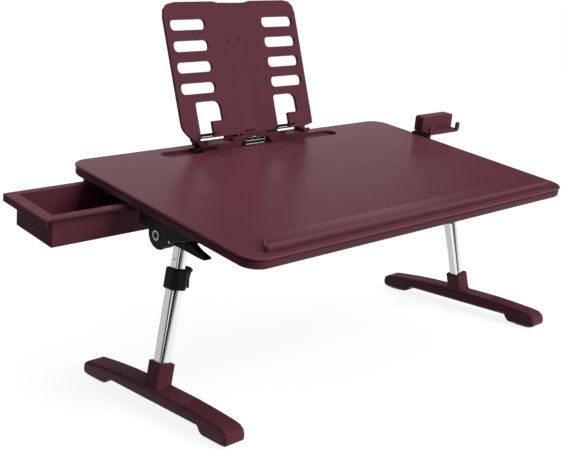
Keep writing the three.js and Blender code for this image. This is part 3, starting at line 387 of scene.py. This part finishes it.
def softened(node, radius, steps):
    """The node's own shape with its edges rounded."""
    form = bmesh.new()
    form.from_mesh(frame["nodes"][node].data)
    bmesh.ops.remove_doubles(form, verts=form.verts, dist=SHORTEST_EDGE * MM)
    bmesh.ops.dissolve_limit(form, angle_limit=math.radians(FLAT), verts=form.verts,
                             edges=form.edges)
    return soften(piece(f"{node}_finished", form, node), radius, steps)


def span(node, place):
    """The lowest and highest corner of a node, in place's own axes."""
    inward = place.inverted()
    spots = [inward @ vert.co for vert in frame["nodes"][node].data.vertices]
    return [Vector([pick(spot[i] for spot in spots) for i in range(3)]) for pick in (min, max)]


def slab(outline, low, high):
    """A block on the outline, in x and y, from low to high in z."""
    form = bmesh.new()
    face = form.faces.new([form.verts.new((x, y, low)) for x, y in outline])
    lifted = bmesh.ops.extrude_face_region(form, geom=[face])["geom"]
    verts = [part for part in lifted if isinstance(part, bmesh.types.BMVert)]
    bmesh.ops.translate(form, verts=verts, vec=(0, 0, high - low))
    bmesh.ops.recalc_face_normals(form, faces=form.faces)
    return form


def rounded(form, edges, radius, steps):
    bmesh.ops.bevel(form, geom=edges, offset=radius, offset_type="OFFSET", segments=steps,
                    profile=0.5, affect="EDGES", material=-1, clamp_overlap=True)


def fitting(name, form, place, body, slot, radius, steps):
    """A small fitting in place's own axes that stands for no node of its own."""
    form.transform(place)
    return soften(riding(name, form, body, slot), radius, steps)


def wrist_ridge(steps):
    """A soft pillow whose ends slant in towards the back."""
    deck = deck_axes()
    low, high = span("wrist_ridge", deck)
    middle = RIDGE_SWELL / 2
    form = slab([(-RIDGE_FRONT, low.y), (RIDGE_FRONT, low.y),
                 (RIDGE_REAR, high.y), (-RIDGE_REAR, high.y)], 0, RIDGE_SWELL)
    upright = [edge for edge in form.edges
               if abs(edge.verts[0].co.z - edge.verts[1].co.z) > middle]
    rounded(form, upright, RIDGE_CORNER, 2 * steps)
    upper = [edge for edge in form.edges if min(vert.co.z for vert in edge.verts) > middle]
    rounded(form, upper, RIDGE_ROUND, 3 * steps)
    for edge in form.edges:
        if max(vert.co.z for vert in edge.verts) < RIDGE_SWELL / 100:
            edge.smooth = False
    bmesh.ops.scale(form, vec=(1, 1, (high.z - low.z) / RIDGE_SWELL), verts=form.verts)
    bmesh.ops.translate(form, vec=(0, 0, low.z), verts=form.verts)
    form.transform(deck)
    return piece("wrist_ridge_pillow", form, "wrist_ridge")


def pawl_highlight_bars():
    """The lattice of bars across the middle of the stand's pawl, in bright steel as painted highlight."""
    deck = deck_axes()
    low, high = span("stand_pawl", deck)
    form = bmesh.new()
    bmesh.ops.create_grid(form, x_segments=PAWL_COLUMNS, y_segments=PAWL_ROWS, size=0.5)
    bmesh.ops.scale(form, vec=(PAWL_GRID, high.z - low.z - PAWL_BAR, 1), verts=form.verts)
    bmesh.ops.rotate(form, cent=(0, 0, 0), matrix=Matrix.Rotation(math.radians(90), 3, "X"),
                     verts=form.verts)
    bmesh.ops.translate(form, vec=(0, low.y, (low.z + high.z) / 2), verts=form.verts)
    bmesh.ops.wireframe(form, faces=form.faces, thickness=PAWL_BAR, use_replace=True,
                        use_boundary=True, use_even_offset=True)
    # Bright steel is painted highlight: the ribs are black, and lighter only where light falls on them
    fitting("stand_pawl_highlight_bars", form, deck, body_of["stand_pawl"], "bright_steel", PAWL_BAR_EDGE, 1)


def plate(edges, near, far):
    """A thin plate that stands in x and z, between two depths in y."""
    left, right, low, high = edges
    return slab([(left, near), (right, near), (right, far), (left, far)], low, high)


def stand_shade_plates(radius, steps):
    """Painted shade: a black plate in the panel's key slot and one on the front of the base."""
    # A black plate in the key slot: painted shade for its recess
    fitting("stand_key_slot_painted_shade", plate(KEY_SLOT, *KEY_SLOT_DEPTHS), stand_axes(),
            body_of["stand_panel"], "black_plastic", radius, steps)
    deck = deck_axes()
    front = span("stand_base", deck)[0].y
    half = BASE_SHADE_PLATE_THICKNESS / 2
    # A black plate on the front of the base: painted shade for the pocket of shade there
    fitting("stand_base_painted_shade", plate(BASE_SHADE_PLATE, front - half, front + half), deck,
            body_of["stand_base"], "black_plastic", radius, steps)


def lever(side, radius, steps):
    """The release lever: a hub with its nose, and a tail that tapers to a rounded tip."""
    node = f"release_lever_{side}"
    pin = Vector(joint(f"release_{side}")["pos_m"])
    up = mount("top_surface")[1]
    back = up.cross(Vector((1, 0, 0))).normalized()
    place = axes(pin, back, up)
    low, high = span(node, place)
    form = slab(LEVER_OUTLINE, low.z, high.z)
    form.transform(place)
    soften(piece(f"release_lever_shaped_{side}", form, node), radius, steps)


def painted_under(made, slot):
    """Gives the faces that look down from the deck another finish."""
    down = -mount("top_surface")[1]
    made.data.materials.append(materials[slot])
    for face in made.data.polygons:
        if face.normal.dot(down) > ROUGHLY_FACING:
            face.material_index = 1


def creased(made, facing, least, most):
    """Keeps the shallow folds crisp between faces that look along or against facing."""
    form = bmesh.new()
    form.from_mesh(made.data)
    for edge in form.edges:
        if len(edge.link_faces) != 2:
            continue
        flat = all(abs(face.normal.dot(facing)) > FACING for face in edge.link_faces)
        if flat and math.radians(least) < edge.calc_face_angle() < math.radians(most):
            edge.smooth = False
    form.to_mesh(made.data)
    form.free()


# Operators

class LAPDESK_OT_top(bpy.types.Operator):
    """Desk top: laminate skin, board and wrist ridge"""

    bl_idname = "lapdesk.top"
    bl_label = "Desk top"

    def execute(self, context):
        sizes = context.scene.lap_desk_sizes
        softened("top_skin", sizes.skin_edge, sizes.edge_steps)
        wrist_ridge(sizes.edge_steps)
        board = softened("top_board", sizes.moulded_edge, sizes.edge_steps)
        painted_under(board, "black_plastic")
        return {"FINISHED"}


class LAPDESK_OT_drawer(bpy.types.Operator):
    """Drawer with its rails and stop"""

    bl_idname = "lapdesk.drawer"
    bl_label = "Drawer"

    def execute(self, context):
        sizes = context.scene.lap_desk_sizes
        for node in ("drawer_tray", "drawer_rail_front", "drawer_rail_rear", "drawer_stop"):
            softened(node, sizes.moulded_edge, sizes.edge_steps)
        return {"FINISHED"}


class LAPDESK_OT_book_stand(bpy.types.Operator):
    """Book stand with its base, ratchet pawl, pins and page clips"""

    bl_idname = "lapdesk.book_stand"
    bl_label = "Book stand"

    def execute(self, context):
        sizes = context.scene.lap_desk_sizes
        base = softened("stand_base", sizes.metal_edge, sizes.edge_steps)
        # The whole rounding, so that the panel clears the base when it leans right back
        base.modifiers["Soft edges"].use_clamp_overlap = False
        softened("stand_pawl", sizes.moulded_edge, sizes.edge_steps)
        panel = softened("stand_panel", sizes.moulded_edge, sizes.edge_steps)
        creased(panel, mount("book_stand_face")[1], FOLD_LEAST, FOLD_MOST)
        pawl_highlight_bars()
        stand_shade_plates(sizes.metal_edge, sizes.edge_steps)
        for side in SIDES:
            softened(f"page_clip_{side}", sizes.moulded_edge, sizes.edge_steps)
            softened(f"clip_pin_{side}", sizes.metal_edge, sizes.edge_steps)
            softened(f"stand_pin_{side}", sizes.metal_edge, sizes.edge_steps)
        softened("stand_pin_mid", sizes.metal_edge, sizes.edge_steps)
        return {"FINISHED"}


class LAPDESK_OT_phone_rest(bpy.types.Operator):
    """Phone rest with its edge clamp and clamp screw"""

    bl_idname = "lapdesk.phone_rest"
    bl_label = "Phone rest"

    def execute(self, context):
        sizes = context.scene.lap_desk_sizes
        for node in ("phone_rest", "phone_clamp", "phone_clamp_screw"):
            softened(node, sizes.moulded_edge, sizes.edge_steps)
        return {"FINISHED"}


class LAPDESK_OT_hinges(bpy.types.Operator):
    """Fold hinges, side brackets, tilt bolts and release levers of both sides"""

    bl_idname = "lapdesk.hinges"
    bl_label = "Hinges"

    def execute(self, context):
        sizes = context.scene.lap_desk_sizes
        for side in SIDES:
            for node in ("fold_base", "side_bracket", "leg_head"):
                softened(f"{node}_{side}", sizes.moulded_edge, sizes.edge_steps)
            lever(side, sizes.moulded_edge, sizes.edge_steps)
            for node in ("fold_pin_front", "fold_pin_rear", "tilt_ring", "tilt_bolt", "lever_pin"):
                softened(f"{node}_{side}", sizes.metal_edge, sizes.edge_steps)
        return {"FINISHED"}


class LAPDESK_OT_legs(bpy.types.Operator):
    """Telescoping legs with their clamp collars, cam levers, feet and pads"""

    bl_idname = "lapdesk.legs"
    bl_label = "Legs"

    def execute(self, context):
        sizes = context.scene.lap_desk_sizes
        for side in SIDES:
            softened(f"foot_{side}", sizes.foot_edge, sizes.edge_steps)
            for node in ("collar", "cam_lever", "foot_pad_front", "foot_pad_rear"):
                softened(f"{node}_{side}", sizes.moulded_edge, sizes.edge_steps)
            for node in ("inner_tube", "outer_tube", "cam_pin"):
                softened(f"{node}_{side}", sizes.metal_edge, sizes.edge_steps)
        return {"FINISHED"}


# Stage

# The photograph's camera, solved against the desk top: its place from the middle of the top's
# footprint, in millimetres, its turn in degrees, and its lens
CAMERA_RIGHT, CAMERA_BACK, CAMERA_UP = -958.7, -961.9, 514.3
CAMERA_YAW, CAMERA_PITCH = 42.13, 13.73
FOCAL_PIXELS = 996.8
FRAME_WIDTH = 564
SENSOR = 36.0
NEAREST = 0.05

# The floor: its width in metres, its glow and its shade as the camera sees it, and its shade to
# the light
FLOOR_WIDTH = 12
FLOOR_GLOW, FLOOR_SHADE, FLOOR_MATT = 0.86, 0.33, 0.3
# The room's light on the desk, where the camera sees 1
ROOM_LEVEL = 0.17

# The sun: its power, how many degrees wide it is, and the way that it shines
SUN_POWER, SUN_WIDTH, SUN_WAY = 2.0, 40, (-0.45, 0.75, -0.485)
# The lamp overhead: place, target, width and height in metres, and power in watts
OVERHEAD = ((0.3, 0.2, 2.2), (0, 0, 0.2), 1.8, 1.8, 16)

# Cards that the glossy pieces reflect: place, target, width and height in metres, and level
CARDS = (
    ("Rear card", (1.4, 2.6, 3.7), (1.4, 0, 3.7), 6.0, 4.0, 0.02),
    ("Front right card", (1.8, -2.6, 1.6), (0, 0, 0.6), 6.0, 3.2, 0.9),
    ("Right card", (3.6, 0.4, 1.8), (0, 0.4, 1.8), 4.0, 3.6, 0.02),
    ("Left card", (-2.4, 1.0, 1.4), (0, 1.0, 1.4), 4.6, 2.8, 0.1),
    ("Left floor card", (-0.95, 0.5, 0.002), (-0.95, 0.5, 1.0), 1.24, 3.0, 0.05),
    ("Low card", (0.1, 0.25, 0.11), (0.1, 0, 0.11), 1.1, 0.22, 0.3),
)

# Cards that show in flat faces as an outline, in millimetres, at this distance from the face
CARD_OFF = 60.0
# Half the width of the tubes; on their left face the outline of a grey card, back and up, and on
# their front face the black stripe beside the corner
TUBE_HALF = 8.5
GREY_OUTLINE, GREY_LEVEL = ((-14, 20), (30, 20), (30, 260), (-14, 260)), 0.6
STRIPE_LOW, STRIPE_TOP, STRIPE_END = 45.0, 160.0, 235.0
STRIPE_NARROW, STRIPE_WIDE, STRIPE_LEVEL = 2.0, 9.0, 0.005
# On the left hinge's outer face, back and up from its bolt
HINGE_OUTLINE, HINGE_LEVEL = ((-40, -25), (25, -25), (25, 30), (-40, 30)), 0.5


def aim(place, target):
    """The turn of a lamp or card at place that faces target."""
    return (Vector(target) - Vector(place)).to_track_quat("-Z", "Y")


def square(width, height):
    """A flat rectangle about the origin."""
    form = bmesh.new()
    bmesh.ops.create_grid(form, x_segments=1, y_segments=1, size=0.5)
    bmesh.ops.scale(form, vec=(width, height, 1), verts=form.verts)
    return form


def either(tree, first, second):
    """A value that is 1 where the first or the second is."""
    chosen = add(tree, "ShaderNodeMath", {"operation": "MAXIMUM"}, {0: first, 1: second})
    return chosen.outputs["Value"]


def photo_camera(scene):
    """The camera that took the photograph; gives its place."""
    middle = mount("top_surface")[0]
    lens = bpy.data.cameras.new("Camera")
    lens.sensor_width = SENSOR
    lens.lens = SENSOR * FOCAL_PIXELS / FRAME_WIDTH
    lens.clip_start = NEAREST
    camera = linked("Camera", lens)
    camera.location = (middle.x + CAMERA_RIGHT * MM, middle.y + CAMERA_BACK * MM, CAMERA_UP * MM)
    camera.rotation_euler = (math.radians(90 - CAMERA_PITCH), 0, math.radians(-CAMERA_YAW))
    scene.camera = camera
    return Vector(camera.location)


def paper_floor():
    """A floor that is nearly white to the camera and in reflections, and grey to the light."""
    mesh = meshed("Floor", square(FLOOR_WIDTH, FLOOR_WIDTH))
    floor = linked("Floor", mesh)
    material, tree = new_material("Matt_white_paper_floor")
    path = add(tree, "ShaderNodeLightPath")
    seen = either(tree, path.outputs["Is Camera Ray"], path.outputs["Is Glossy Ray"])
    matt = add(tree, "ShaderNodeBsdfDiffuse", {"Color": grey(FLOOR_MATT)})
    bright = add(tree, "ShaderNodeEmission", {"Color": grey(1), "Strength": FLOOR_GLOW})
    shaded = add(tree, "ShaderNodeBsdfDiffuse", {"Color": grey(FLOOR_SHADE)})
    glow = add(tree, "ShaderNodeAddShader",
               links={0: bright.outputs["Emission"], 1: shaded.outputs["BSDF"]})
    both = add(tree, "ShaderNodeMixShader",
               links={"Fac": seen, 1: matt.outputs["BSDF"], 2: glow.outputs["Shader"]})
    add(tree, "ShaderNodeOutputMaterial", links={"Surface": both.outputs["Shader"]})
    mesh.materials.append(material)


def white_room(scene):
    """A world that is white to the camera and in reflections, and dim to the light."""
    world = bpy.data.worlds.new("Studio")
    scene.world = world
    world.use_nodes = True
    tree = world.node_tree
    tree.nodes.clear()
    path = add(tree, "ShaderNodeLightPath")
    straight = either(tree, path.outputs["Is Camera Ray"], path.outputs["Is Transmission Ray"])
    clear = either(tree, straight, path.outputs["Is Glossy Ray"])
    level = between(tree, clear, ROOM_LEVEL, 1.0)
    sky = add(tree, "ShaderNodeBackground", {"Color": grey(1)},
              {"Strength": level.outputs["Result"]})
    add(tree, "ShaderNodeOutputWorld", links={"Surface": sky.outputs["Background"]})


def sun():
    """A broad sun from in front and to the right, left out of reflections."""
    lamp = bpy.data.lights.new("Key", "SUN")
    lamp.energy = SUN_POWER
    lamp.angle = math.radians(SUN_WIDTH)
    made = linked("Key", lamp)
    made.rotation_euler = aim((0, 0, 0), SUN_WAY).to_euler()
    made.visible_glossy = False


def softbox(name, place, target, width, height, power):
    """A rectangular lamp that faces target."""
    lamp = bpy.data.lights.new(name, "AREA")
    lamp.shape = "RECTANGLE"
    lamp.size = width
    lamp.size_y = height
    lamp.energy = power
    made = linked(name, lamp)
    made.location = place
    made.rotation_euler = aim(place, target).to_euler()
    made.visible_camera = False
    made.visible_glossy = False


def staged_card(name, form, level):
    """A card of so much brightness that only reflections see, as in a studio."""
    mesh = meshed(name, form)
    made = linked(name, mesh)
    material, tree = new_material(f"Matt_{name.lower().replace(' ', '_')}")
    paper = add(tree, "ShaderNodeEmission", {"Color": grey(1), "Strength": level})
    add(tree, "ShaderNodeOutputMaterial", links={"Surface": paper.outputs["Emission"]})
    mesh.materials.append(material)
    made.visible_camera = False
    made.visible_shadow = False
    made.visible_diffuse = False


def card(name, place, target, width, height, level):
    """A rectangular card at place that faces target."""
    form = square(width, height)
    form.transform(Matrix.Translation(place) @ aim(place, target).to_matrix().to_4x4())
    staged_card(name, form, level)


def mirrored(outline, axis, eye):
    """Where a card stands to show as the outline, in a mirror square to axis 0 or 1."""
    shown = []
    for corner in outline:
        point = Vector(corner)
        sight = (point - eye).normalized()
        sight[axis] = -sight[axis]
        shown.append(point - sight * (CARD_OFF / sight[axis]))
    return shown


def mirror_card(name, place, outline, axis, eye, level):
    """A card that shows as the outline to someone at eye, in place's own axes."""
    form = bmesh.new()
    corners = mirrored(outline, axis, place.inverted() @ eye)
    form.faces.new([form.verts.new(corner) for corner in corners])
    form.transform(place)
    staged_card(name, form, level)


def leg_cards(side, eye):
    """A grey card that the tubes' left face shows, and the stripe beside their front corner."""
    leg = leg_axes(side)
    corner = -TUBE_HALF
    beside = [(corner, y, z) for y, z in GREY_OUTLINE]
    stripe = [(x, corner, z) for x, z in (
        (corner - CARD_OFF, STRIPE_LOW), (corner + STRIPE_NARROW, STRIPE_LOW),
        (corner + STRIPE_WIDE, STRIPE_TOP), (corner + STRIPE_WIDE, STRIPE_END),
        (corner - CARD_OFF, STRIPE_END))]
    mirror_card(f"Grey strip {side}", leg, beside, 0, eye, GREY_LEVEL)
    mirror_card(f"Black strip {side}", leg, stripe, 1, eye, STRIPE_LEVEL)


def hinge_card(eye):
    """A grey card that the outer face of the left hinge shows."""
    bolt = axes(Vector(joint("tilt_left")["pos_m"]), Vector((1, 0, 0)), Vector((0, 1, 0)))
    outline = [(0, y, z) for y, z in HINGE_OUTLINE]
    mirror_card("Hinge card", bolt, outline, 0, eye, HINGE_LEVEL)


class LAPDESK_OT_stage(bpy.types.Operator):
    """Pale floor, soft studio light and the photograph's camera"""

    bl_idname = "lapdesk.stage"
    bl_label = "Stage"

    def execute(self, context):
        scene = context.scene
        scene.view_settings.view_transform = "Standard"
        eye = photo_camera(scene)
        paper_floor()
        white_room(scene)
        sun()
        softbox("Overhead", *OVERHEAD)
        for rectangle in CARDS:
            card(*rectangle)
        for side in SIDES:
            leg_cards(side, eye)
        hinge_card(eye)
        return {"FINISHED"}


# Panel and registration

class LAPDESK_PT_panel(bpy.types.Panel):
    """Lists the desk's sizes, colours and operators in the sidebar."""

    bl_idname = "LAPDESK_PT_panel"
    bl_label = "Folding lap desk"
    bl_space_type = "VIEW_3D"
    bl_region_type = "UI"
    bl_category = "Lap desk"

    def draw(self, context):
        for group in (context.scene.lap_desk_sizes, context.scene.lap_desk_colours):
            for name in group.bl_rna.properties.keys():
                if name not in {"rna_type", "name"}:
                    self.layout.prop(group, name)
        for operator in OPERATORS:
            self.layout.operator(operator.bl_idname)


OPERATORS = (
    LAPDESK_OT_stage,
    LAPDESK_OT_top,
    LAPDESK_OT_drawer,
    LAPDESK_OT_book_stand,
    LAPDESK_OT_phone_rest,
    LAPDESK_OT_hinges,
    LAPDESK_OT_legs,
)
CLASSES = (LapDeskColours, LapDeskSizes, *OPERATORS, LAPDESK_PT_panel)


def register():
    for cls in CLASSES:
        bpy.utils.register_class(cls)
    bpy.types.Scene.lap_desk_colours = bpy.props.PointerProperty(type=LapDeskColours)
    bpy.types.Scene.lap_desk_sizes = bpy.props.PointerProperty(type=LapDeskSizes)


def unregister():
    del bpy.types.Scene.lap_desk_sizes
    del bpy.types.Scene.lap_desk_colours
    for cls in reversed(CLASSES):
        bpy.utils.unregister_class(cls)


def main():
    register()
    materials.update(make_materials(bpy.context.scene.lap_desk_colours))
    for operator in OPERATORS:
        group, name = operator.bl_idname.split(".")
        getattr(getattr(bpy.ops, group), name)()


if __name__ == "__main__":
    main()
